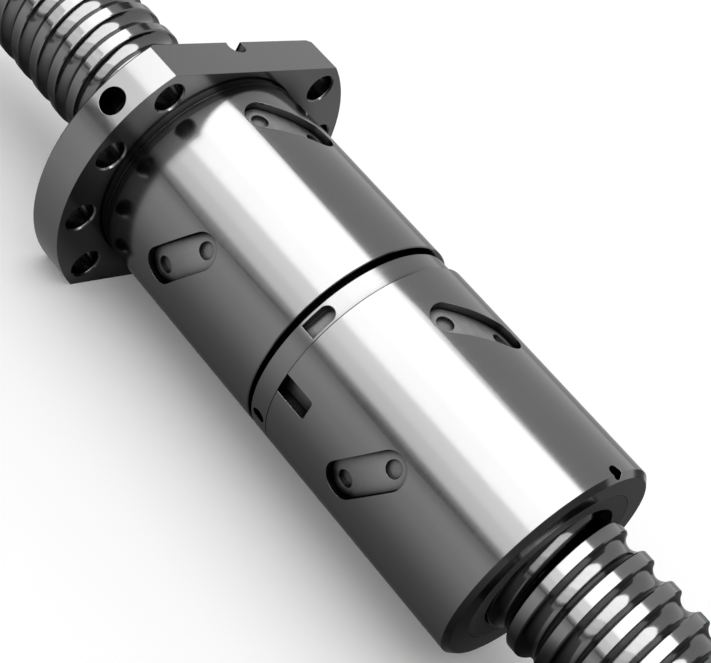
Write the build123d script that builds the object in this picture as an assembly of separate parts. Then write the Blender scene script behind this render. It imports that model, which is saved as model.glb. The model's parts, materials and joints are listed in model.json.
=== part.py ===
"""Ball screw with a flanged double nut, in millimetres.

The screw's axis is X and the flats of the flange face up and down.  The origin is on
the axis, at the flange's front face.  Each piece is drawn along a local Z axis, with
angles counted from the part's +Y towards +Z, and is then laid along X.
"""

from build123d import *
import math
import os

# Thread and balls
LEAD = 10.0
BALL_DIAMETER = 6.35
BALL_CIRCLE_DIAMETER = 43.1
BALL_CLEARANCE = 0.15
FLANK_ANGLE = 22.0
GROOVE_PHASE = -0.1
CUT_TURNS = 6
CUTTER_OVERRUN = 0.8

# Screw shaft
SCREW_DIAMETER = 41.4
THREAD_START = -84.0
THREAD_END = 204.0
THREAD_CHAMFER = 2.0
JOURNAL_DIAMETER = 30.0
JOURNAL_LENGTH = 30.0
JOURNAL_CHAMFER = 1.5
CENTRE_HOLE_DIAMETER = 6.3
CENTRE_HOLE_DEPTH = 7.0
CENTRE_CONE_DIAMETER = 12.0

# Nut bodies
NUT_DIAMETER = 68.0
NUT_BORE_DIAMETER = 44.9
JOINT_CHAMFER = 0.3
FREE_END_CHAMFER = 1.5
FLANGED_NUT_TAIL = 13.5
PLAIN_NUT_TAIL = 16.7
FLANGE_DIAMETER = 99.0
FLANGE_THICKNESS = 13.0
FLANGE_ACROSS_FLATS = 75.5
FLANGE_CHAMFER = 1.0
FLANGE_RELIEF_WIDTH = 2.6
FLANGE_RELIEF_DEPTH = 0.5

# Flange holes and grease port
BOLT_RIM_DISTANCE = 7.0
BOLT_HOLE_DIAMETER = 9.0
BOLT_HOLE_CHAMFER = 0.45
INNER_BOLT_ANGLE = 15.0
OUTER_BOLT_ANGLE = 45.0
PORT_ANGLE = 150.0
PORT_DIAMETER = 8.0
PORT_DEPTH = 10.0
DUCT_DIAMETER = 3.0

# Return inserts
RETURNS_PER_NUT = 4
RETURN_FIRST_ANGLE = 90.0
RETURN_STEP_ANGLE = 90.0
RETURN_INSET = 17.0
POCKET_LENGTH = 27.0
POCKET_WIDTH = 10.4
POCKET_SLANT = 34.5
INSERT_CLEARANCE = 0.15
INSERT_SINK = 2.2
INSERT_FOOT_RADIUS = 21.8
CROSSING_ENTRY_ANGLE = 14.0
CROSSING_LAND_GAP = 0.45
DIMPLE_DIAMETER = 5.0
DIMPLE_DEPTH = 1.2
RACEWAY_LEAD_IN_ANGLE = 20.0

# Spacer ring between the nuts
SPACER_DIAMETER = 66.9
SPACER_BORE_DIAMETER = 46.0
SPACER_NECK_DIAMETER = 59.0
SPACER_NECK_LENGTH = 1.8
SPACER_LENGTH = 8.0
SPACER_OFFSET = 0.55
SPACER_OFFSET_ANGLE = 232.0
TOOL_SLOT_WIDTH = 4.8
TOOL_SLOT_DEPTH = 2.8
TOOL_SLOT_ROUND_ANGLE = 144.0
TOOL_SLOT_FLAT_ANGLE = 155.5
TOOL_HOLE_ANGLE = 210.0
TOOL_HOLE_DIAMETER = 4.5
TOOL_HOLE_DEPTH = 4.0

# Key between the nuts
KEY_ANGLE = 180.0
KEY_WIDTH = 5.9
KEY_BOTTOM_RADIUS = 26.0
RING_WALL_OVER_KEY = 3.05
KEY_CLEARANCE = 0.1
KEY_POCKET_DEPTH = 6.0
KEYWAY_LENGTH = 11.0
KEYWAY_CORNER = 1.0

# Wipers
WIPER_RECESS_DIAMETER = 52.6
WIPER_RECESS_DEPTH = 4.5
WIPER_FIT = 0.15
WIPER_BORE_GAP = 0.4
WIPER_LUG_DIAMETER = 2.4
WIPER_LUG_HEIGHT = 4.0
LUG_INSET = 2.0
FLANGE_LUG_HOLE_DIAMETER = 6.1
FLANGE_LUG_HOLE_INSET = 1.45
FREE_LUG_HOLE_DIAMETER = 3.8
FREE_LUG_HOLE_INSET = 2.3
LUG_ANGLE = 90.0
WASHER_THICKNESS = 1.0
WASHER_SIDE_GAP = 0.1
WASHER_RADIAL_GAP = 0.3
WASHER_BORE_GAP = 0.7


def groove_height(angle, turn):
    """Height of the groove's middle at an angle, on a numbered turn."""
    return GROOVE_PHASE + LEAD * (turn + angle / 360)


def return_places(nut_start):
    """Height and angle of each return insert, over the land between two turns of the groove."""
    first_land = groove_height(RETURN_FIRST_ANGLE, 0) + LEAD / 2
    turn = math.ceil((nut_start + RETURN_INSET - first_land) / LEAD)
    step = LEAD * (1 + RETURN_STEP_ANGLE / 360)
    return [
        (first_land + turn * LEAD + index * step, RETURN_FIRST_ANGLE + index * RETURN_STEP_ANGLE)
        for index in range(RETURNS_PER_NUT)
    ]


def last_return(nut_start):
    """Height of the last return insert of a nut."""
    return return_places(nut_start)[-1][0]


# Sizes that follow from those above
ball_radius = BALL_DIAMETER / 2
ball_path_radius = BALL_CIRCLE_DIAMETER / 2
groove_reach = ball_radius + BALL_CLEARANCE
screw_radius = SCREW_DIAMETER / 2
nut_radius = NUT_DIAMETER / 2
bore_radius = NUT_BORE_DIAMETER / 2
bolt_circle_radius = FLANGE_DIAMETER / 2 - BOLT_RIM_DISTANCE
key_top_radius = SPACER_DIAMETER / 2 - RING_WALL_OVER_KEY
spacer_start = last_return(0) + FLANGED_NUT_TAIL
plain_nut_start = spacer_start + SPACER_LENGTH
plain_nut_end = last_return(plain_nut_start) + PLAIN_NUT_TAIL
recess_radius = WIPER_RECESS_DIAMETER / 2
wiper_thickness = WIPER_RECESS_DEPTH - WASHER_THICKNESS - 2 * WASHER_SIDE_GAP
crossing_radius = screw_radius + CROSSING_LAND_GAP + ball_radius

# The local Z axis becomes the part's X axis, and the local X axis its Y axis
along_x = Plane(origin=(0, 0, 0), x_dir=(0, 1, 0), z_dir=(1, 0, 0)).location


def turned(points):
    """Solid of revolution about the local Z axis from (radius, height) points."""
    outline = Polyline(*[(radius, 0, height) for radius, height in points], close=True)
    return revolve(Face(Wire(outline.edges())), axis=Axis.Z)


def rod(radius, start, end):
    """Cylinder on the local Z axis between two heights."""
    return Pos(0, 0, start) * Cylinder(radius, end - start, align=(Align.CENTER, Align.CENTER, Align.MIN))


def radial_plane(angle, height, radius, slant=0.0):
    """Plane that faces outward at an angle; its X axis runs with falling angle, tilted up by slant."""
    tilt = math.radians(slant)
    flat = Plane(origin=(radius, 0, height), x_dir=(0, -math.cos(tilt), math.sin(tilt)), z_dir=(1, 0, 0))
    return Rot(0, 0, angle) * flat.location


def radial_hole(angle, height, diameter, inner_radius, outer_radius):
    """Round cutter that points at the axis."""
    place = radial_plane(angle, height, inner_radius)
    depth = outer_radius - inner_radius
    return place * Cylinder(diameter / 2, depth, align=(Align.CENTER, Align.CENTER, Align.MIN))


def flank_half_width(radius, side):
    """Half the groove's width at a radius; side is -1 in the screw and +1 in the nut."""
    slope = math.radians(FLANK_ANGLE)
    past_path = side * (radius - ball_path_radius)
    return (groove_reach - past_path * math.sin(slope)) / math.cos(slope)


def groove_cutter(start, angle, turns, side, surface_radius):
    """Helical cutter for one ball groove, open past the surface that it is cut into."""
    root_radius = ball_path_radius + side * groove_reach
    open_radius = surface_radius - side * CUTTER_OVERRUN
    root = flank_half_width(root_radius, side)
    mouth = flank_half_width(open_radius, side)
    corners = [(root_radius, 0, root), (open_radius, 0, mouth), (open_radius, 0, -mouth), (root_radius, 0, -root)]
    section = Face(Wire(Polyline(*corners, close=True).edges()))
    path = Helix(pitch=LEAD, height=turns * LEAD, radius=ball_path_radius)
    return Pos(0, 0, start) * Rot(0, 0, angle) * sweep(section, path=path, is_frenet=True)


def screw_shaft():
    """Shaft with its ball groove, a plain journal and a centre hole at each end."""
    journal = JOURNAL_DIAMETER / 2
    first = THREAD_START - JOURNAL_LENGTH
    last = THREAD_END + JOURNAL_LENGTH
    hole = CENTRE_HOLE_DIAMETER / 2
    cone = CENTRE_CONE_DIAMETER / 2
    shaft = turned([
        (0, first + CENTRE_HOLE_DEPTH),
        (hole, first + CENTRE_HOLE_DEPTH),
        (hole, first + cone - hole),
        (cone, first),
        (journal - JOURNAL_CHAMFER, first),
        (journal, first + JOURNAL_CHAMFER),
        (journal, THREAD_START),
        (screw_radius - THREAD_CHAMFER, THREAD_START),
        (screw_radius, THREAD_START + THREAD_CHAMFER),
        (screw_radius, THREAD_END - THREAD_CHAMFER),
        (screw_radius - THREAD_CHAMFER, THREAD_END),
        (journal, THREAD_END),
        (journal, last - JOURNAL_CHAMFER),
        (journal - JOURNAL_CHAMFER, last),
        (cone, last),
        (hole, last - cone + hole),
        (hole, last - CENTRE_HOLE_DEPTH),
        (0, last - CENTRE_HOLE_DEPTH),
    ])
    start = groove_height(0, math.floor((THREAD_START - GROOVE_PHASE) / LEAD) - 1)
    while start < THREAD_END + LEAD:
        shaft -= groove_cutter(start, 0, CUT_TURNS, -1, screw_radius)
        start += CUT_TURNS * LEAD
    return shaft


def pocket_cutter(height, angle):
    """Slanted obround cutter through the nut's wall."""
    place = radial_plane(angle, height, 0, POCKET_SLANT)
    return place * extrude(SlotOverall(POCKET_LENGTH, POCKET_WIDTH), nut_radius + CUTTER_OVERRUN)


def raceway_cutter(places):
    """Groove inside one nut, from its first ball circuit to its last."""
    first_height, first_angle = places[0]
    last_height = places[-1][0]
    lead_in = RACEWAY_LEAD_IN_ANGLE / 360
    start = first_height - LEAD / 2 - LEAD * lead_in
    turns = (last_height - first_height) / LEAD + 1 + 2 * lead_in
    return groove_cutter(start, first_angle - RACEWAY_LEAD_IN_ANGLE, turns, 1, bore_radius)


def cut_circuits(nut, nut_start):
    """Cut the raceway and the insert pockets into a nut."""
    places = return_places(nut_start)
    nut -= raceway_cutter(places)
    for height, angle in places:
        nut -= pocket_cutter(height, angle)
    return nut


def key_box(start, end, bottom, top, width):
    """Block that holds or clears the key, between two heights and two radii."""
    block = Pos((bottom + top) / 2, 0, (start + end) / 2) * Box(top - bottom, width, end - start)
    return Rot(0, 0, KEY_ANGLE) * block


def bolt_hole(angle):
    """Flange hole with a small chamfer on the front face."""
    hole = BOLT_HOLE_DIAMETER / 2
    mouth = hole + BOLT_HOLE_CHAMFER
    cutter = turned([
        (0, -FLANGE_THICKNESS - 1),
        (hole, -FLANGE_THICKNESS - 1),
        (hole, -BOLT_HOLE_CHAMFER),
        (mouth, 0),
        (0, 0),
    ])
    return Rot(0, 0, angle) * Pos(bolt_circle_radius, 0, 0) * cutter


def bolt_angles():
    """Angles of the eight flange holes, four on each side of the flats."""
    right = [-OUTER_BOLT_ANGLE, -INNER_BOLT_ANGLE, INNER_BOLT_ANGLE, OUTER_BOLT_ANGLE]
    return right + [180 + angle for angle in right]


def grease_port():
    """Tapped port in the flange's rim, with a duct to the bore."""
    middle = -FLANGE_THICKNESS / 2
    outside = FLANGE_DIAMETER / 2
    port = radial_hole(PORT_ANGLE, middle, PORT_DIAMETER, outside - PORT_DEPTH, outside + 1)
    duct = radial_hole(PORT_ANGLE, middle, DUCT_DIAMETER, bore_radius - 2, outside - 1)
    return port + duct


def flanged_nut():
    """Nut with the flange, its holes, the grease port and four insert pockets."""
    rim = FLANGE_DIAMETER / 2
    back = -FLANGE_THICKNESS
    relief = nut_radius - FLANGE_RELIEF_DEPTH
    nut = turned([
        (bore_radius, back + WIPER_RECESS_DEPTH),
        (recess_radius, back + WIPER_RECESS_DEPTH),
        (recess_radius, back),
        (rim - FLANGE_CHAMFER, back),
        (rim, back + FLANGE_CHAMFER),
        (rim, 0),
        (relief, 0),
        (relief, FLANGE_RELIEF_WIDTH),
        (nut_radius, FLANGE_RELIEF_WIDTH),
        (nut_radius, spacer_start - JOINT_CHAMFER),
        (nut_radius - JOINT_CHAMFER, spacer_start),
        (bore_radius, spacer_start),
    ])
    nut &= Box(2 * rim, FLANGE_ACROSS_FLATS, 4 * spacer_start)
    for angle in bolt_angles():
        nut -= bolt_hole(angle)
    nut -= grease_port()
    lug_hole = radial_hole(
        LUG_ANGLE, back + FLANGE_LUG_HOLE_INSET, FLANGE_LUG_HOLE_DIAMETER, bore_radius + 1, rim
    )
    nut -= lug_hole
    nut -= key_box(
        spacer_start - KEY_POCKET_DEPTH,
        spacer_start + 1,
        KEY_BOTTOM_RADIUS - KEY_CLEARANCE,
        key_top_radius + KEY_CLEARANCE,
        KEY_WIDTH + 2 * KEY_CLEARANCE,
    )
    return cut_circuits(nut, 0)


def plain_nut():
    """Second nut, with the open keyway at its front and the wiper recess at its end."""
    nut = turned([
        (bore_radius, plain_nut_start),
        (nut_radius - JOINT_CHAMFER, plain_nut_start),
        (nut_radius, plain_nut_start + JOINT_CHAMFER),
        (nut_radius, plain_nut_end - FREE_END_CHAMFER),
        (nut_radius - FREE_END_CHAMFER, plain_nut_end),
        (recess_radius, plain_nut_end),
        (recess_radius, plain_nut_end - WIPER_RECESS_DEPTH),
        (bore_radius, plain_nut_end - WIPER_RECESS_DEPTH),
    ])
    keyway = key_box(
        plain_nut_start - 1,
        plain_nut_start + KEYWAY_LENGTH,
        KEY_BOTTOM_RADIUS - KEY_CLEARANCE,
        nut_radius + 1,
        KEY_WIDTH + 2 * KEY_CLEARANCE,
    )
    far_corners = [
        edge
        for edge in keyway.edges().filter_by(GeomType.LINE)
        if edge.length > nut_radius + 1 - KEY_BOTTOM_RADIUS
        and edge.center().Z > plain_nut_start + KEYWAY_LENGTH - KEYWAY_CORNER
        and abs(edge.tangent_at(0.5).X) > 0.9
    ]
    nut -= fillet(far_corners, KEYWAY_CORNER)
    nut -= radial_hole(
        LUG_ANGLE, plain_nut_end - FREE_LUG_HOLE_INSET, FREE_LUG_HOLE_DIAMETER, bore_radius + 1, nut_radius + 1
    )
    return cut_circuits(nut, plain_nut_start)


def tool_slot():
    """Recess in the spacer's rim with one flat end and one round end."""
    middle = spacer_start + (SPACER_NECK_LENGTH + SPACER_LENGTH) / 2
    floor_radius = SPACER_DIAMETER / 2 - TOOL_SLOT_DEPTH
    span = math.radians(TOOL_SLOT_FLAT_ANGLE - TOOL_SLOT_ROUND_ANGLE)
    length = SPACER_DIAMETER / 2 * span
    outline = Circle(TOOL_SLOT_WIDTH / 2)
    outline += Pos(-length / 2, 0, 0) * Rectangle(length, TOOL_SLOT_WIDTH)
    place = radial_plane(TOOL_SLOT_ROUND_ANGLE, middle, floor_radius)
    return place * extrude(outline, TOOL_SLOT_DEPTH + 2)


def spacer_ring():
    """Ring between the nuts, with a neck, tool recesses and a slot that clears the key."""
    neck = SPACER_NECK_DIAMETER / 2
    rim = SPACER_DIAMETER / 2
    bore = SPACER_BORE_DIAMETER / 2
    neck_end = spacer_start + SPACER_NECK_LENGTH
    ring = turned([
        (bore, spacer_start),
        (neck, spacer_start),
        (neck, neck_end),
        (rim, neck_end),
        (rim, plain_nut_start),
        (bore, plain_nut_start),
    ])
    shift = math.radians(SPACER_OFFSET_ANGLE)
    ring = Pos(SPACER_OFFSET * math.cos(shift), SPACER_OFFSET * math.sin(shift), 0) * ring
    ring -= tool_slot()
    middle = spacer_start + (SPACER_NECK_LENGTH + SPACER_LENGTH) / 2
    ring -= radial_hole(TOOL_HOLE_ANGLE, middle, TOOL_HOLE_DIAMETER, rim - TOOL_HOLE_DEPTH, rim + 2)
    ring -= key_box(
        spacer_start - 1,
        plain_nut_start + 1,
        bore - 1,
        key_top_radius + KEY_CLEARANCE,
        KEY_WIDTH + 2 * KEY_CLEARANCE,
    )
    return ring


def nut_key():
    """Key that stops the two nuts from turning against each other."""
    start = spacer_start - KEY_POCKET_DEPTH + KEY_CLEARANCE
    end = plain_nut_start + KEYWAY_LENGTH - KEYWAY_CORNER
    return key_box(start, end, KEY_BOTTOM_RADIUS, key_top_radius, KEY_WIDTH)


def crossing_offsets():
    """Distance round and along the screw from an insert's middle to where its channel ends."""
    entry = math.radians(CROSSING_ENTRY_ANGLE)
    around = ball_path_radius * math.sin(entry)
    along = LEAD / 2 - LEAD * CROSSING_ENTRY_ANGLE / 360
    return around, along


def return_insert(height, angle):
    """Insert that lifts the balls over one land, seated in its slanted pocket."""
    top_radius = nut_radius - INSERT_SINK
    outline = SlotOverall(POCKET_LENGTH - 2 * INSERT_CLEARANCE, POCKET_WIDTH - 2 * INSERT_CLEARANCE)
    foot = radial_plane(0, 0, INSERT_FOOT_RADIUS, POCKET_SLANT)
    insert = foot * extrude(outline, nut_radius - INSERT_FOOT_RADIUS)
    insert &= rod(top_radius, -POCKET_LENGTH, POCKET_LENGTH)
    around, along = crossing_offsets()
    crossing = radial_plane(0, 0, crossing_radius, math.degrees(math.atan2(along, around)))
    channel = Box(2 * POCKET_LENGTH, 2 * groove_reach, 2 * groove_reach)
    insert -= crossing * channel
    reach = (POCKET_LENGTH - POCKET_WIDTH) / 2
    slant = math.radians(POCKET_SLANT)
    turn = math.degrees(math.asin(reach * math.cos(slant) / top_radius))
    rise = reach * math.sin(slant)
    for side in (-1, 1):
        insert -= radial_hole(-side * turn, side * rise, DIMPLE_DIAMETER, top_radius - DIMPLE_DEPTH, nut_radius)
    return Pos(0, 0, height) * Rot(0, 0, angle) * insert


def ball_blank():
    """Ball with twenty flat facets whose corners lie on the real ball's surface."""
    golden = (1 + math.sqrt(5)) / 2
    scale = ball_radius / math.sqrt(1 + golden**2)
    corners = []
    for first in (-1, 1):
        for second in (-golden, golden):
            corners.append(Vector(0, first, second) * scale)
            corners.append(Vector(first, second, 0) * scale)
            corners.append(Vector(second, 0, first) * scale)
    side = 2 * scale
    facets = []
    for i, one in enumerate(corners):
        for j in range(i + 1, len(corners)):
            for k in range(j + 1, len(corners)):
                trio = (one, corners[j], corners[k])
                lengths = [(trio[a] - trio[a - 1]).length for a in range(3)]
                if max(lengths) < side * 1.01:
                    facets.append(Face(Wire(Polyline(*trio, close=True).edges())))
    return Solid(Shell(facets))


def ball_circuit(height, angle):
    """One closed row of balls: a turn of the groove and the crossing under its insert."""
    ball = ball_blank()
    span = 360 - 2 * CROSSING_ENTRY_ANGLE
    pitch = math.degrees(2 * math.asin((BALL_DIAMETER + BALL_CLEARANCE / 2) / 2 / ball_path_radius))
    gaps = math.floor(span / pitch)
    row = [Pos(crossing_radius, 0, 0) * ball]
    for index in range(gaps + 1):
        turn = CROSSING_ENTRY_ANGLE + span * index / gaps
        row.append(Pos(0, 0, LEAD * (turn / 360 - 0.5)) * Rot(0, 0, turn) * Pos(ball_path_radius, 0, 0) * ball)
    place = Pos(0, 0, height) * Rot(0, 0, angle)
    return Compound([place * one for one in row])


def wiper(outer_face, inward):
    """Wiper ring with a lug that locks it in the nut; inward is +1 or -1 along the axis."""
    inner_face = outer_face + inward * wiper_thickness
    low = min(outer_face, inner_face)
    high = max(outer_face, inner_face)
    ring = rod(recess_radius - WIPER_FIT, low, high) - rod(screw_radius + WIPER_BORE_GAP, low - 1, high + 1)
    lug_start = recess_radius - 1
    lug_end = recess_radius + WIPER_LUG_HEIGHT
    lug = radial_hole(LUG_ANGLE, outer_face + inward * LUG_INSET, WIPER_LUG_DIAMETER, lug_start, lug_end)
    return ring + lug


def backing_washer(outer_face, inward):
    """Thin washer between a wiper and the shoulder of its recess."""
    near = outer_face + inward * (wiper_thickness + WASHER_SIDE_GAP)
    far = near + inward * WASHER_THICKNESS
    low = min(near, far)
    high = max(near, far)
    disc = rod(recess_radius - WASHER_RADIAL_GAP, low, high)
    return disc - rod(screw_radius + WASHER_BORE_GAP, low - 1, high + 1)


def build():
    """All pieces by node name, drawn along the local Z axis."""
    pieces = {
        "screw_shaft": screw_shaft(),
        "flanged_nut": flanged_nut(),
        "plain_nut": plain_nut(),
        "spacer_ring": spacer_ring(),
        "nut_key": nut_key(),
        "wiper_flange_end": wiper(-FLANGE_THICKNESS, 1),
        "wiper_free_end": wiper(plain_nut_end, -1),
        "backing_washer_flange_end": backing_washer(-FLANGE_THICKNESS, 1),
        "backing_washer_free_end": backing_washer(plain_nut_end, -1),
    }
    places = return_places(0) + return_places(plain_nut_start)
    for number, (height, angle) in enumerate(places, start=1):
        pieces[f"return_insert_{number}"] = return_insert(height, angle)
        pieces[f"ball_circuit_{number}"] = ball_circuit(height, angle)
    return pieces


if __name__ == "__main__":
    os.makedirs("parts", exist_ok=True)
    for name, piece in build().items():
        export_step(along_x * piece, f"parts/{name}.step")
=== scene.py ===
"""Looks of the ball screw: ground steel finishes, a finely cut thread and a plain studio."""

import json
import logging
import math
from dataclasses import dataclass, field
from enum import Enum

import bmesh
import bpy
from mathutils import Matrix, Vector


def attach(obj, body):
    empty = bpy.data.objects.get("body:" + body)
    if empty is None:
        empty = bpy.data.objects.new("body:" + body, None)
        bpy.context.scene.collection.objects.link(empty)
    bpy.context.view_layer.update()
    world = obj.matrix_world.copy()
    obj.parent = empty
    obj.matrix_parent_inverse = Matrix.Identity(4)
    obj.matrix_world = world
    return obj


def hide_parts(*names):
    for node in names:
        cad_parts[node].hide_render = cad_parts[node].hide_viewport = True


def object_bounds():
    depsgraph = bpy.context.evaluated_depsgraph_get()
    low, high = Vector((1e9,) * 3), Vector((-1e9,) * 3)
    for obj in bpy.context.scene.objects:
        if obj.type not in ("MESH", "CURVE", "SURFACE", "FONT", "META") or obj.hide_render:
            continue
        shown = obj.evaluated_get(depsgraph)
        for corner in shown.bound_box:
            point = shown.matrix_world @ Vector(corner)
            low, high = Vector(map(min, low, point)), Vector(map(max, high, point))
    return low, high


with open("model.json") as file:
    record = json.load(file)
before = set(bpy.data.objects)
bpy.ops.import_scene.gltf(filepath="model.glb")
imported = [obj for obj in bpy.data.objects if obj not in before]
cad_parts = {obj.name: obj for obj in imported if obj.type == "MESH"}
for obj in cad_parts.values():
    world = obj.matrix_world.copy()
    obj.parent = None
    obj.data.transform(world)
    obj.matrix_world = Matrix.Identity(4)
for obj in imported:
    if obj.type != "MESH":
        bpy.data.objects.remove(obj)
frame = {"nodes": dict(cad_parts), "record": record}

CAD_BOUNDS = [list(corner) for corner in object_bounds()]
MILLIMETRE = 0.001
WHITE = (1.0, 1.0, 1.0, 1.0)

logging.basicConfig(level=logging.INFO, format="%(message)s")
log = logging.getLogger("ball_screw")


class Operation(Enum):
    """Ways to work out one value from two."""

    ADD = "ADD"
    MULTIPLY = "MULTIPLY"
    LARGER = "MAXIMUM"


class Grain(Enum):
    """How close a finish's fine marks lie, for each metre along X, Y and Z."""

    AROUND = (2600.0, 60.0, 60.0)
    NONE = (420.0, 420.0, 420.0)


@dataclass
class Wiring:
    """Nodes of a material or of the world, with short ways to add and join them.

    Args:
        tree: Node tree that is wired.
    """

    tree: bpy.types.NodeTree

    @property
    def surface(self) -> bpy.types.Node:
        """The material's own surface shader."""
        return self.tree.nodes["Principled BSDF"]

    def add(self, kind: str) -> bpy.types.Node:
        """Add a node of the given kind."""
        return self.tree.nodes.new(kind)

    def join(self, start: bpy.types.NodeSocket, end: bpy.types.NodeSocket) -> None:
        """Lead an output into an input."""
        self.tree.links.new(start, end)

    def place(self) -> bpy.types.NodeSocket:
        """Give the object's own coordinates."""
        return self.add("ShaderNodeTexCoord").outputs["Object"]

    def stretch(
        self, place: bpy.types.NodeSocket, scale: tuple[float, float, float]
    ) -> bpy.types.NodeSocket:
        """Scale coordinates by a factor of its own along each axis.

        Args:
            place: Coordinates.
            scale: Factors along X, Y and Z.

        Returns:
            The scaled coordinates.
        """
        mapping = self.add("ShaderNodeMapping")
        mapping.inputs["Scale"].default_value = scale
        self.join(place, mapping.inputs["Vector"])
        return mapping.outputs["Vector"]

    def noise(
        self, place: bpy.types.NodeSocket, detail: float, scale: float = 1.0
    ) -> bpy.types.NodeSocket:
        """Add a noise pattern.

        Args:
            place: Coordinates that it follows.
            detail: Octaves of the noise.
            scale: Factor on the coordinates.

        Returns:
            The noise, from 0 to 1.
        """
        noise = self.add("ShaderNodeTexNoise")
        noise.inputs["Scale"].default_value = scale
        noise.inputs["Detail"].default_value = detail
        self.join(place, noise.inputs["Vector"])
        return noise.outputs["Fac"]

    def remap(
        self,
        value: bpy.types.NodeSocket,
        target: tuple[float, float],
        source: tuple[float, float] = (0.0, 1.0),
    ) -> bpy.types.NodeSocket:
        """Carry a value from one range over to another, and keep it inside.

        Args:
            value: The value.
            target: Results at the two ends of the source range.
            source: Range that the value runs through.

        Returns:
            The result.
        """
        spread = self.add("ShaderNodeMapRange")
        for ends, limits in (("From", source), ("To", target)):
            spread.inputs[f"{ends} Min"].default_value = limits[0]
            spread.inputs[f"{ends} Max"].default_value = limits[1]
        self.join(value, spread.inputs["Value"])
        return spread.outputs["Result"]

    def work_out(
        self,
        operation: Operation,
        first: bpy.types.NodeSocket,
        second: bpy.types.NodeSocket | float,
    ) -> bpy.types.NodeSocket:
        """Work out one value from two.

        Args:
            operation: What is done with them.
            first: The first value.
            second: The second value, or a number.

        Returns:
            The result.
        """
        node = self.add("ShaderNodeMath")
        node.operation = operation.value
        self.join(first, node.inputs[0])
        if isinstance(second, float):
            node.inputs[1].default_value = second
        else:
            self.join(second, node.inputs[1])
        return node.outputs["Value"]

    def grey(self, tone: bpy.types.NodeSocket) -> bpy.types.NodeSocket:
        """Make a grey of a tone.

        Args:
            tone: Linear tone.

        Returns:
            The colour.
        """
        colour = self.add("ShaderNodeCombineColor")
        for channel in ("Red", "Green", "Blue"):
            self.join(tone, colour.inputs[channel])
        return colour.outputs["Color"]

    def bump(self, height: bpy.types.NodeSocket, strength: float, depth: float) -> bpy.types.Node:
        """Add bumps to the surface.

        Args:
            height: Pattern of the bumps, from 0 to 1.
            strength: Share of their effect, from 0 to 1.
            depth: Height of the bumps, in metres.

        Returns:
            The node, whose own normal input is still free.
        """
        bump = self.add("ShaderNodeBump")
        bump.inputs["Strength"].default_value = strength
        bump.inputs["Distance"].default_value = depth
        self.join(height, bump.inputs["Height"])
        return bump


def new_material(name: str) -> tuple[bpy.types.Material, Wiring]:
    """Make a material with a plain surface shader.

    Args:
        name: Material name.

    Returns:
        The material and the wiring of its nodes.
    """
    material = bpy.data.materials.new(name)
    material.use_nodes = True
    return material, Wiring(material.node_tree)


def around(middle: float, share: float) -> tuple[float, float]:
    """Give the two values that lie a share of a middle value below and above it."""
    return middle * (1.0 - share), middle * (1.0 + share)


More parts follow.
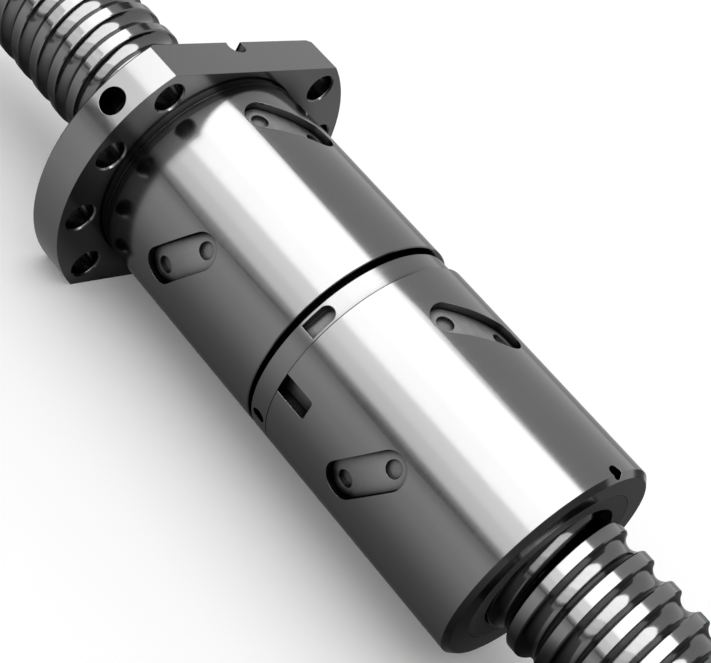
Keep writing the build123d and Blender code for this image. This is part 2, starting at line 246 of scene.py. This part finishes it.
@dataclass(frozen=True)
class SteelFinish:
    """Ground or turned steel.

    Args:
        name: Material name.
        tone: Linear grey of the metal.
        roughness: Middle of the roughness range.
        grain: How the grinding marks lie.
        grain_depth: Height of the marks, in metres.
        grain_strength: Share of the marks' effect on the surface, from 0 to 1.
        grain_detail: Octaves of the marks' noise.
        edge_radius: Width of the softened edges, in metres.
        film: How strongly a thin oil film changes the tone, from 0 to 1.
        film_scale: How close the film's clouds lie, for each metre along X, Y and Z.
        film_detail: Octaves of the clouds' noise.
        unevenness: How strongly film and marks change the roughness, from 0 to 1.
        uneven_range: Sum of film and marks at the lowest and at the highest roughness.
        painted_shade_tone: Share of the tone that is left deep in holes and corners, as painted shade.
        painted_shade_reach: How far from a corner the painted shade darkens the steel, in metres.
        painted_shade_range: Openness of a place where the painted shade is darkest, and where it ends.
        samples: Rays that look for edges and corners.
    """

    name: str
    tone: float
    roughness: float
    grain: Grain = Grain.AROUND
    grain_depth: float = 0.000012
    grain_strength: float = 0.35
    grain_detail: float = 2.0
    edge_radius: float = 0.00022
    film: float = 0.12
    film_scale: tuple[float, float, float] = (18.0, 18.0, 18.0)
    film_detail: float = 3.0
    unevenness: float = 0.25
    uneven_range: tuple[float, float] = (0.6, 1.4)
    painted_shade_tone: float = 0.12
    painted_shade_reach: float = 0.007
    painted_shade_range: tuple[float, float] = (0.5, 0.9)
    samples: int = 4

    def material(self) -> bpy.types.Material:
        """Build the node material.

        Returns:
            The finished material.
        """
        material, wiring = new_material(self.name)
        inputs = wiring.surface.inputs
        inputs["Metallic"].default_value = 1.0
        place = wiring.place()
        film = wiring.noise(wiring.stretch(place, self.film_scale), self.film_detail)
        marks = wiring.noise(wiring.stretch(place, self.grain.value), self.grain_detail)
        wiring.join(self._colour(wiring, film), inputs["Base Color"])
        both = wiring.work_out(Operation.ADD, film, marks)
        roughness = wiring.remap(both, around(self.roughness, self.unevenness), self.uneven_range)
        wiring.join(roughness, inputs["Roughness"])
        wiring.join(self._normal(wiring, marks), inputs["Normal"])
        return material

    def _colour(self, wiring: Wiring, film: bpy.types.NodeSocket) -> bpy.types.NodeSocket:
        """Vary the tone with the oil film, and paint shade into holes and corners.

        Args:
            wiring: Wiring of the material.
            film: Pattern of the film.

        Returns:
            The colour.
        """
        tone = wiring.remap(film, around(self.tone, self.film))
        # Ambient occlusion darkens the base colour in holes and corners: this is painted shade.
        corner = wiring.add("ShaderNodeAmbientOcclusion")
        corner.samples = self.samples
        corner.inputs["Distance"].default_value = self.painted_shade_reach
        shade = wiring.remap(corner.outputs["AO"], (self.painted_shade_tone, 1.0), self.painted_shade_range)
        return wiring.grey(wiring.work_out(Operation.MULTIPLY, tone, shade))

    def _normal(self, wiring: Wiring, marks: bpy.types.NodeSocket) -> bpy.types.NodeSocket:
        """Soften the edges, and lay the grinding marks over them.

        Args:
            wiring: Wiring of the material.
            marks: Pattern of the grinding marks.

        Returns:
            The surface's direction.
        """
        soft_edge = wiring.add("ShaderNodeBevel")
        soft_edge.samples = self.samples
        soft_edge.inputs["Radius"].default_value = self.edge_radius
        bump = wiring.bump(marks, self.grain_strength, self.grain_depth)
        wiring.join(soft_edge.outputs["Normal"], bump.inputs["Normal"])
        return bump.outputs["Normal"]


@dataclass(frozen=True)
class PlasticFinish:
    """Dark moulded plastic with a fine grain.

    Args:
        name: Material name.
        tone: Linear grey of the plastic.
        roughness: Surface roughness.
        mottle: How strongly the grain changes the tone, from 0 to 1.
        grain_scale: How close the grain lies, for each metre.
        grain_detail: Octaves of the grain's noise.
        grain_strength: Share of the grain's effect on the surface, from 0 to 1.
        grain_depth: Height of the grain, in metres.
    """

    name: str
    tone: float
    roughness: float
    mottle: float = 0.3
    grain_scale: float = 900.0
    grain_detail: float = 2.0
    grain_strength: float = 0.2
    grain_depth: float = 0.00003

    def material(self) -> bpy.types.Material:
        """Build the node material.

        Returns:
            The finished material.
        """
        material, wiring = new_material(self.name)
        inputs = wiring.surface.inputs
        inputs["Roughness"].default_value = self.roughness
        grain = wiring.noise(wiring.place(), self.grain_detail, self.grain_scale)
        tone = wiring.remap(grain, around(self.tone, self.mottle))
        wiring.join(wiring.grey(tone), inputs["Base Color"])
        bump = wiring.bump(grain, self.grain_strength, self.grain_depth)
        wiring.join(bump.outputs["Normal"], inputs["Normal"])
        return material


class Finish(Enum):
    """The finishes of this ball screw."""

    GROUND_THREAD = SteelFinish("ground_thread_steel", 0.14, 0.12, grain_depth=0.000006)
    NUT = SteelFinish("ground_nut_steel", 0.135, 0.15)
    SPACER = SteelFinish("turned_spacer_steel", 0.13, 0.18)
    INSERT = SteelFinish("insert_steel", 0.18, 0.4, grain=Grain.NONE)
    BALL = SteelFinish("polished_ball_steel", 0.45, 0.06, grain=Grain.NONE)
    WIPER = PlasticFinish("wiper_plastic", 0.03, 0.5)


FINISH_OF_SLOT = {
    "ground_thread": Finish.GROUND_THREAD,
    "nut_steel": Finish.NUT,
    "spacer_steel": Finish.SPACER,
    "insert_steel": Finish.INSERT,
    "ball_steel": Finish.BALL,
    "wiper_plastic": Finish.WIPER,
}


@dataclass
class Wardrobe:
    """Makes each finish once and puts it on pieces.

    Args:
        made: Materials that exist already, by finish.
    """

    made: dict[Finish, bpy.types.Material] = field(default_factory=dict)

    def get(self, finish: Finish) -> bpy.types.Material:
        """Return the material of a finish, made on first use.

        Args:
            finish: The finish that is wanted.

        Returns:
            Its material.
        """
        if finish not in self.made:
            self.made[finish] = finish.value.material()
        return self.made[finish]

    def dress_node(self, name: str, finish: Finish) -> None:
        """Put a finish on a node of the frame.

        Args:
            name: Node name.
            finish: Its finish.
        """
        node = frame["nodes"][name]
        for slot in node.material_slots:
            slot.link = "OBJECT"
            slot.material = self.get(finish)
        log.info("%s wears %s", name, finish.value.name)


@dataclass
class ScrewShaft:
    """Screw with a gothic-arch ball groove, bevelled lands and plain journals.

    Args:
        lead: Advance of the groove in one turn.
        ball_radius: Radius of the balls.
        path_radius: Radius of the circle that the balls' centres follow.
        land_radius: Outer radius of the thread.
        groove_radius: Radius of each of the groove's two arcs.
        ball_gap: Room between a ball and the groove at the contact angle.
        land_bevel: Width of the bevel beside each land.
        land_bevel_slope: Depth of that bevel, as a share of its width.
        phase: Place of the groove's middle on the +Y side.
        thread_start: Lower end of the thread.
        thread_end: Upper end of the thread.
        end_chamfer: Bevel at both ends of the thread.
        journal_radius: Radius of the plain ends.
        journal_length: Length of each plain end.
        journal_chamfer: Bevel at the ends of the shaft.
        centre_cone: Radius of the centre hole's cone.
        centre_hole: Radius of the centre hole.
        centre_depth: Depth of the centre hole.
        spare_turns: Turns swept past the thread's lower and upper end, and then cut off.
        turn_steps: Faces in one turn.
        arc_steps: Faces across each of the groove's arcs.
        sharp_angle: Angle between two faces past which their edge is sharp, in degrees.
        merge_distance: Distance within which points become one.
        place_tolerance: How exactly a point's place is known.
    """

    lead: float = 10.0 * MILLIMETRE
    ball_radius: float = 3.175 * MILLIMETRE
    path_radius: float = 21.55 * MILLIMETRE
    land_radius: float = 20.7 * MILLIMETRE
    groove_radius: float = 3.43 * MILLIMETRE
    ball_gap: float = 0.1 * MILLIMETRE
    land_bevel: float = 0.4 * MILLIMETRE
    land_bevel_slope: float = 0.8
    phase: float = -0.1 * MILLIMETRE
    thread_start: float = -84.0 * MILLIMETRE
    thread_end: float = 204.0 * MILLIMETRE
    end_chamfer: float = 2.0 * MILLIMETRE
    journal_radius: float = 15.0 * MILLIMETRE
    journal_length: float = 30.0 * MILLIMETRE
    journal_chamfer: float = 1.5 * MILLIMETRE
    centre_cone: float = 6.0 * MILLIMETRE
    centre_hole: float = 3.15 * MILLIMETRE
    centre_depth: float = 7.0 * MILLIMETRE
    spare_turns: tuple[int, int] = (2, 1)
    turn_steps: int = 72
    arc_steps: int = 7
    sharp_angle: float = 24.0
    merge_distance: float = 0.00001
    place_tolerance: float = 0.000001

    def build(self, wardrobe: Wardrobe) -> bpy.types.Object:
        """Model the shaft and put it in place of the plain node.

        Args:
            wardrobe: Source of the finishes.

        Returns:
            The new piece.
        """
        shape = bmesh.new()
        self._thread(shape)
        self._cut_ends(shape)
        self._bevel_ends(shape)
        for side in (-1, 1):
            self._journal(shape, side)
        bmesh.ops.recalc_face_normals(shape, faces=shape.faces)
        for face in shape.faces:
            face.smooth = True
        mesh = bpy.data.meshes.new("screw_thread")
        shape.to_mesh(mesh)
        shape.free()
        mesh.set_sharp_from_angle(angle=math.radians(self.sharp_angle))
        piece = bpy.data.objects.new("screw_thread", mesh)
        bpy.context.scene.collection.objects.link(piece)
        mesh.materials.append(wardrobe.get(Finish.GROUND_THREAD))
        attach(piece, "screw")
        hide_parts("screw_shaft")
        log.info("screw_thread has %d faces", len(mesh.polygons))
        return piece

    def _section(self) -> list[tuple[float, float]]:
        """Outline of one pitch, from the middle of a land to the middle of the next.

        Returns:
            Pairs of distance along the screw from the groove's middle, and radius.
        """
        offset = (self.groove_radius - self.ball_radius - self.ball_gap) * math.sqrt(0.5)
        centre = self.path_radius + offset
        root = math.atan2(offset, math.sqrt(self.groove_radius**2 - offset**2))
        bevel_depth = self.land_bevel * self.land_bevel_slope
        mouth = math.acos((centre - self.land_radius + bevel_depth) / self.groove_radius)
        half = []
        for step in range(self.arc_steps + 1):
            turn = root + (mouth - root) * step / self.arc_steps
            along = self.groove_radius * math.sin(turn) - offset
            half.append((along, centre - self.groove_radius * math.cos(turn)))
        half.append((half[-1][0] + self.land_bevel, self.land_radius))
        half.append((self.lead / 2, self.land_radius))
        return [(-along, radius) for along, radius in reversed(half)] + half[1:]

    def _spin(
        self, shape: bmesh.types.BMesh, outline: list[tuple[float, float]], advance: float = 0.0
    ) -> None:
        """Turn an outline once round the screw's axis.

        Args:
            shape: Mesh that takes the surface.
            outline: Pairs of X coordinate and radius.
            advance: How far the outline moves along the axis in its turn.
        """
        points = [shape.verts.new((along, radius, 0.0)) for along, radius in outline]
        edges = [shape.edges.new(pair) for pair in zip(points, points[1:])]
        bmesh.ops.spin(
            shape,
            geom=points + edges,
            cent=(0.0, 0.0, 0.0),
            axis=(1.0, 0.0, 0.0),
            dvec=(advance / self.turn_steps, 0.0, 0.0),
            angle=math.tau,
            steps=self.turn_steps,
            use_merge=advance == 0.0,
        )

    def _thread(self, shape: bmesh.types.BMesh) -> None:
        """Sweep one turn of the thread, and repeat it past both ends.

        Args:
            shape: Mesh that takes the thread.
        """
        first_turn = math.floor((self.thread_start - self.phase) / self.lead) - self.spare_turns[0]
        last_turn = math.ceil((self.thread_end - self.phase) / self.lead) + self.spare_turns[1]
        origin = self.phase + first_turn * self.lead
        outline = [(origin + along, radius) for along, radius in self._section()]
        self._spin(shape, outline, advance=self.lead)
        one_turn = shape.verts[:] + shape.edges[:] + shape.faces[:]
        for turn in range(1, last_turn - first_turn):
            copied = bmesh.ops.duplicate(shape, geom=one_turn)["geom"]
            moved = [item for item in copied if isinstance(item, bmesh.types.BMVert)]
            bmesh.ops.translate(shape, verts=moved, vec=(turn * self.lead, 0.0, 0.0))
        bmesh.ops.remove_doubles(shape, verts=shape.verts, dist=self.merge_distance)

    def _cut_ends(self, shape: bmesh.types.BMesh) -> None:
        """Cut the thread off square at both ends, and close it there.

        Args:
            shape: Mesh that holds the thread.
        """
        for place, outward in ((self.thread_start, -1.0), (self.thread_end, 1.0)):
            cut = bmesh.ops.bisect_plane(
                shape,
                geom=shape.verts[:] + shape.edges[:] + shape.faces[:],
                plane_co=(place, 0.0, 0.0),
                plane_no=(outward, 0.0, 0.0),
                clear_outer=True,
            )
            rim = [item for item in cut["geom_cut"] if isinstance(item, bmesh.types.BMEdge)]
            bmesh.ops.edgeloop_fill(shape, edges=rim)

    def _bevel_ends(self, shape: bmesh.types.BMesh) -> None:
        """Draw the lands in towards both ends of the thread.

        Args:
            shape: Mesh that holds the thread.
        """
        for point in shape.verts:
            depth = min(point.co.x - self.thread_start, self.thread_end - point.co.x)
            limit = self.land_radius - self.end_chamfer + depth
            radius = math.hypot(point.co.y, point.co.z)
            if radius > limit:
                point.co.y *= limit / radius
                point.co.z *= limit / radius

    def _journal(self, shape: bmesh.types.BMesh, side: int) -> None:
        """Turn one plain end with its chamfer and centre hole.

        Args:
            shape: Mesh that takes the journal.
            side: -1 for the flange's side and +1 for the free side.
        """
        start = self.thread_start if side < 0 else self.thread_end
        end = self.journal_length
        outline = [
            (0.0, 0.0),
            (0.0, self.journal_radius),
            (end - self.journal_chamfer, self.journal_radius),
            (end, self.journal_radius - self.journal_chamfer),
            (end, self.centre_cone),
            (end - self.centre_cone + self.centre_hole, self.centre_hole),
            (end - self.centre_depth, self.centre_hole),
            (end - self.centre_depth, 0.0),
        ]
        self._spin(shape, [(start + side * along, radius) for along, radius in outline])
        lowest = min(start, start + side * end) - self.place_tolerance
        highest = max(start, start + side * end) + self.place_tolerance
        near = [point for point in shape.verts if lowest <= point.co.x <= highest]
        bmesh.ops.remove_doubles(shape, verts=near, dist=self.merge_distance)


@dataclass(frozen=True)
class Strip:
    """Band of even light round the screw's axis, as mirrored by the nuts.

    Args:
        name: Lamp or card name.
        first: Angle where it starts, from +Y towards +Z, in degrees.
        last: Angle where it ends.
        radiance: Brightness, where 1 is white and 0 stands for a dark card.
    """

    name: str
    first: float
    last: float
    radiance: float

    def middle_angle(self) -> float:
        """Give the angle of its middle line, in degrees."""
        return (self.first + self.last) / 2.0

    def width(self, distance: float) -> float:
        """Give the width that fills its angle at a distance from the axis."""
        return 2.0 * distance * math.tan(math.radians(self.last - self.first) / 2.0)


STRIPS = (
    Strip("band_lamp_high", 80.0, 97.0, 7.2),
    Strip("band_lamp_middle", 97.0, 117.0, 6.6),
    Strip("band_lamp_low", 117.0, 137.0, 6.05),
    Strip("shoulder_lamp_high", 137.5, 151.0, 3.3),
    Strip("shoulder_lamp_low", 151.0, 165.0, 2.5),
    Strip("line_card", 169.6, 172.8, 0.0),
)


@dataclass(frozen=True)
class MirroredFloor:
    """Light that gloss shows in the floor's place: a painted reflection of the floor, with the object's
    shadow painted in as a dark dip under it.

    Args:
        name: Material name.
        stops: Pairs of Y coordinate and brightness, where 1 is white, in rising order; the dip round Y=0 is
            painted shadow.
        dim_start: X coordinate from which it is dimmed as painted shade, near the nuts' free end.
        dim_length: Length over which it is dimmed.
        dim_share: Share of its brightness that is left past that length.
    """

    name: str = "mirrored_floor"
    stops: tuple[tuple[float, float], ...] = (
        (-0.25, 1.3),
        (-0.11, 1.07),
        (-0.078, 0.81),
        (-0.06, 0.6),
        (-0.047, 0.41),
        (-0.031, 0.22),
        (-0.02, 0.09),
        (0.03, 0.1),
        (0.07, 0.4),
        (0.14, 0.55),
        (0.25, 0.45),
    )
    dim_start: float = 0.148
    dim_length: float = 0.014
    dim_share: float = 0.25

    def material(self) -> bpy.types.Material:
        """Build the node material.

        Returns:
            The finished material.
        """
        material, wiring = new_material(self.name)
        wiring.tree.nodes.clear()
        split = wiring.add("ShaderNodeSeparateXYZ")
        wiring.join(wiring.place(), split.inputs["Vector"])
        # Brightness by Y paints the object's shadow into the floor's reflection; brightness by X paints
        # shade on the free end.
        brightness = self._brightness(wiring, split.outputs["Y"])
        dim_range = (self.dim_start, self.dim_start + self.dim_length)
        share = wiring.remap(split.outputs["X"], (1.0, self.dim_share), dim_range)
        light = wiring.add("ShaderNodeEmission")
        dimmed = wiring.work_out(Operation.MULTIPLY, brightness, share)
        wiring.join(dimmed, light.inputs["Strength"])
        output = wiring.add("ShaderNodeOutputMaterial")
        wiring.join(light.outputs["Emission"], output.inputs["Surface"])
        return material

    def _brightness(self, wiring: Wiring, along: bpy.types.NodeSocket) -> bpy.types.NodeSocket:
        """Follow the stops, in a straight line from each to the next.

        Args:
            wiring: Wiring of the material.
            along: Coordinate that the stops are given for.

        Returns:
            The brightness.
        """
        start = self.stops[0][0]
        end = self.stops[-1][0]
        brightest = max(brightness for _, brightness in self.stops)
        curve = wiring.add("ShaderNodeFloatCurve")
        wiring.join(wiring.remap(along, (0.0, 1.0), (start, end)), curve.inputs["Value"])
        points = curve.mapping.curves[0].points
        given_points = len(points)
        for index, (place, brightness) in enumerate(self.stops):
            spot = ((place - start) / (end - start), brightness / brightest)
            if index < given_points:
                points[index].location = spot
            else:
                points.new(*spot)
        for point in points:
            point.handle_type = "VECTOR"
        curve.mapping.update()
        return wiring.work_out(Operation.MULTIPLY, curve.outputs["Value"], brightest)


@dataclass
class Studio:
    """Pale floor, white surround, soft lamps and the camera.

    Args:
        floor_height: Height of the surface that the part lies on.
        floor_size: Edge of the floor.
        floor_tone: Linear grey of the floor.
        floor_lift: White that the camera sees on the floor beside its own light.
        mirrored_floor: What gloss shows in the floor's place, with the object's shadow painted in.
        surround_light: Strength of the surround as a light; where it is seen it is white.
        camera_place: Where the camera stands.
        camera_right: Direction of the picture's right side.
        camera_up: Direction of the picture's top.
        lens: Focal length, in millimetres.
        picture_width: Width of the picture behind the lens, in millimetres.
        nearest: Distance from which the camera sees.
        middle: Point on the axis that the lamps face.
        strip_distance: Distance of the strips from the axis.
        strip_length: Length of the strips.
        overhead_height: Height of the lamp above.
        overhead_size: Edge of that lamp.
        overhead_power: Its power in watts.
        end_card_distance: Distance of the two end cards from the middle.
        end_card_size: Edge of the end cards.
        card_tone: Linear grey of the dark cards.
    """

    floor_height: float
    floor_size: float = 8.0
    floor_tone: float = 0.93
    floor_lift: float = 0.1
    mirrored_floor: MirroredFloor = MirroredFloor()
    surround_light: float = 0.75
    camera_place: tuple[float, float, float] = (0.24580, -0.33978, 0.24762)
    camera_right: tuple[float, float, float] = (0.61007, 0.64678, 0.45770)
    camera_up: tuple[float, float, float] = (-0.68991, 0.14953, 0.70828)
    lens: float = 84.86
    picture_width: float = 36.0
    nearest: float = 0.01
    middle: tuple[float, float, float] = (0.06, 0.0, 0.0)
    strip_distance: float = 0.62
    strip_length: float = 1.5
    overhead_height: float = 1.6
    overhead_size: float = 2.2
    overhead_power: float = 11.0
    end_card_distance: float = 0.8
    end_card_size: float = 1.6
    card_tone: float = 0.15

    def build(self) -> None:
        """Set up everything that isn't part of the object."""
        bpy.context.scene.view_settings.view_transform = "Standard"
        self._surround()
        self._floor()
        self._strips()
        self._overhead_lamp()
        self._end_cards()
        self._camera()

    def _surround(self) -> None:
        """Add a surround, white where it is seen or mirrored and a mild grey light elsewhere."""
        world = bpy.data.worlds.new("surround")
        bpy.context.scene.world = world
        world.use_nodes = True
        wiring = Wiring(world.node_tree)
        rays = wiring.add("ShaderNodeLightPath").outputs
        seen = wiring.work_out(Operation.LARGER, rays["Is Camera Ray"], rays["Is Glossy Ray"])
        shown = wiring.work_out(Operation.LARGER, seen, rays["Is Transmission Ray"])
        background = world.node_tree.nodes["Background"]
        background.inputs["Color"].default_value = WHITE
        strength = wiring.remap(shown, (self.surround_light, 1.0))
        wiring.join(strength, background.inputs["Strength"])

    def _floor(self) -> None:
        """Add the pale floor, and the graded surface that gloss shows in its place, with the object's
        shadow painted in.
        """
        lying = Matrix.Translation((0.0, 0.0, self.floor_height))
        material, wiring = new_material("pale_floor")
        inputs = wiring.surface.inputs
        inputs["Base Color"].default_value = (self.floor_tone, self.floor_tone, self.floor_tone, 1.0)
        inputs["Roughness"].default_value = 1.0
        inputs["Specular IOR Level"].default_value = 0.0
        inputs["Emission Color"].default_value = WHITE
        camera_ray = wiring.add("ShaderNodeLightPath").outputs["Is Camera Ray"]
        lift = wiring.work_out(Operation.MULTIPLY, camera_ray, self.floor_lift)
        wiring.join(lift, inputs["Emission Strength"])
        floor = self._sheet("floor", self.floor_size, self.floor_size, lying, material)
        floor.visible_glossy = False
        graded = self.mirrored_floor.material()
        mirrored = self._sheet("mirrored_floor", self.floor_size, self.floor_size, lying, graded)
        self._only_in_gloss(mirrored)

    @staticmethod
    def _only_in_gloss(thing: bpy.types.Object) -> None:
        """Hide a stage object from everything but mirrored light.

        Args:
            thing: The object.
        """
        thing.visible_camera = False
        thing.visible_diffuse = False
        thing.visible_shadow = False
        thing.visible_transmission = False
        thing.visible_volume_scatter = False

    @staticmethod
    def _sheet(
        name: str, length: float, width: float, place: Matrix, material: bpy.types.Material
    ) -> bpy.types.Object:
        """Add a flat sheet that isn't part of the object.

        Args:
            name: Object name.
            length: Size along its local X axis.
            width: Size along its local Y axis.
            place: Where it lies; it is written into the mesh.
            material: What it is made of.

        Returns:
            The object.
        """
        shape = bmesh.new()
        # The size of a grid is half its edge, so this one is a metre wide.
        bmesh.ops.create_grid(shape, x_segments=1, y_segments=1, size=0.5)
        bmesh.ops.scale(shape, verts=shape.verts, vec=(length, width, 1.0))
        bmesh.ops.transform(shape, verts=shape.verts, matrix=place)
        mesh = bpy.data.meshes.new(name)
        shape.to_mesh(mesh)
        shape.free()
        mesh.materials.append(material)
        thing = bpy.data.objects.new(name, mesh)
        bpy.context.scene.collection.objects.link(thing)
        return thing

    def _around_axis(self, angle: float, distance: float) -> Matrix:
        """Place that faces the screw's axis.

        Args:
            angle: Direction round the axis, from +Y towards +Z, in degrees.
            distance: Distance from the axis.

        Returns:
            Matrix whose Z axis points away from the screw.
        """
        turn = math.radians(angle)
        outward = Vector((0.0, math.cos(turn), math.sin(turn)))
        along = Vector((1.0, 0.0, 0.0))
        axes = Matrix((along, outward.cross(along), outward)).transposed().to_4x4()
        return Matrix.Translation(Vector(self.middle) + outward * distance) @ axes

    def _strips(self) -> None:
        """Add the long lamps that the nuts mirror as bands, and the dark card below them."""
        for strip in STRIPS:
            width = strip.width(self.strip_distance)
            place = self._around_axis(strip.middle_angle(), self.strip_distance)
            if strip.radiance > 0.0:
                power = strip.radiance * math.pi * self.strip_length * width
                lamp = self._area_lamp(strip.name, self.strip_length, width, power, place)
                lamp.visible_diffuse = False
            else:
                self._dark_card(strip.name, self.strip_length, width, place)

    def _overhead_lamp(self) -> None:
        """Add the soft lamp above, which gloss doesn't show."""
        size = self.overhead_size
        place = Matrix.Translation((self.middle[0], 0.0, self.overhead_height))
        lamp = self._area_lamp("overhead_lamp", size, size, self.overhead_power, place)
        lamp.visible_glossy = False

    def _end_cards(self) -> None:
        """Add the dark cards past the shaft's two ends."""
        upright = Matrix.Rotation(math.radians(90.0), 4, "Y")
        for side in (-1.0, 1.0):
            along = self.middle[0] + side * self.end_card_distance
            place = Matrix.Translation((along, 0.0, 0.0)) @ upright
            self._dark_card(f"end_card_{side:+.0f}", self.end_card_size, self.end_card_size, place)

    def _dark_card(self, name: str, length: float, width: float, place: Matrix) -> None:
        """Add a dark card that only shows in gloss.

        Args:
            name: Object name.
            length: Size along its local X axis.
            width: Size along its local Y axis.
            place: Where it stands.
        """
        material, wiring = new_material(name)
        inputs = wiring.surface.inputs
        inputs["Base Color"].default_value = (self.card_tone, self.card_tone, self.card_tone, 1.0)
        inputs["Roughness"].default_value = 1.0
        self._only_in_gloss(self._sheet(name, length, width, place, material))

    @staticmethod
    def _area_lamp(name: str, length: float, width: float, power: float, place: Matrix) -> bpy.types.Object:
        """Add an area lamp that shines along its local -Z axis.

        Args:
            name: Lamp name.
            length: Size along its local X axis.
            width: Size along its local Y axis.
            power: Power in watts.
            place: Where it hangs.

        Returns:
            The lamp object.
        """
        lamp = bpy.data.lights.new(name, "AREA")
        lamp.shape = "RECTANGLE"
        lamp.size = length
        lamp.size_y = width
        lamp.energy = power
        thing = bpy.data.objects.new(name, lamp)
        thing.matrix_world = place
        thing.visible_camera = False
        bpy.context.scene.collection.objects.link(thing)
        return thing

    def _camera(self) -> None:
        """Add the camera at the photograph's viewpoint."""
        camera = bpy.data.cameras.new("camera")
        camera.sensor_fit = "HORIZONTAL"
        camera.sensor_width = self.picture_width
        camera.lens = self.lens
        camera.clip_start = self.nearest
        thing = bpy.data.objects.new("camera", camera)
        right = Vector(self.camera_right).normalized()
        up = Vector(self.camera_up)
        up = (up - right * up.dot(right)).normalized()
        axes = Matrix((right, up, right.cross(up))).transposed().to_4x4()
        thing.matrix_world = Matrix.Translation(Vector(self.camera_place)) @ axes
        bpy.context.scene.collection.objects.link(thing)
        bpy.context.scene.camera = thing


def main() -> None:
    """Build the looks in order."""
    wardrobe = Wardrobe()
    slots = {entry["node"]: entry["material_slot"] for entry in frame["record"]["subparts"]}
    for name, slot in slots.items():
        if name != "screw_shaft":
            wardrobe.dress_node(name, FINISH_OF_SLOT[slot])
    ScrewShaft().build(wardrobe)
    Studio(floor_height=CAD_BOUNDS[0][2]).build()


if __name__ == "__main__":
    main()
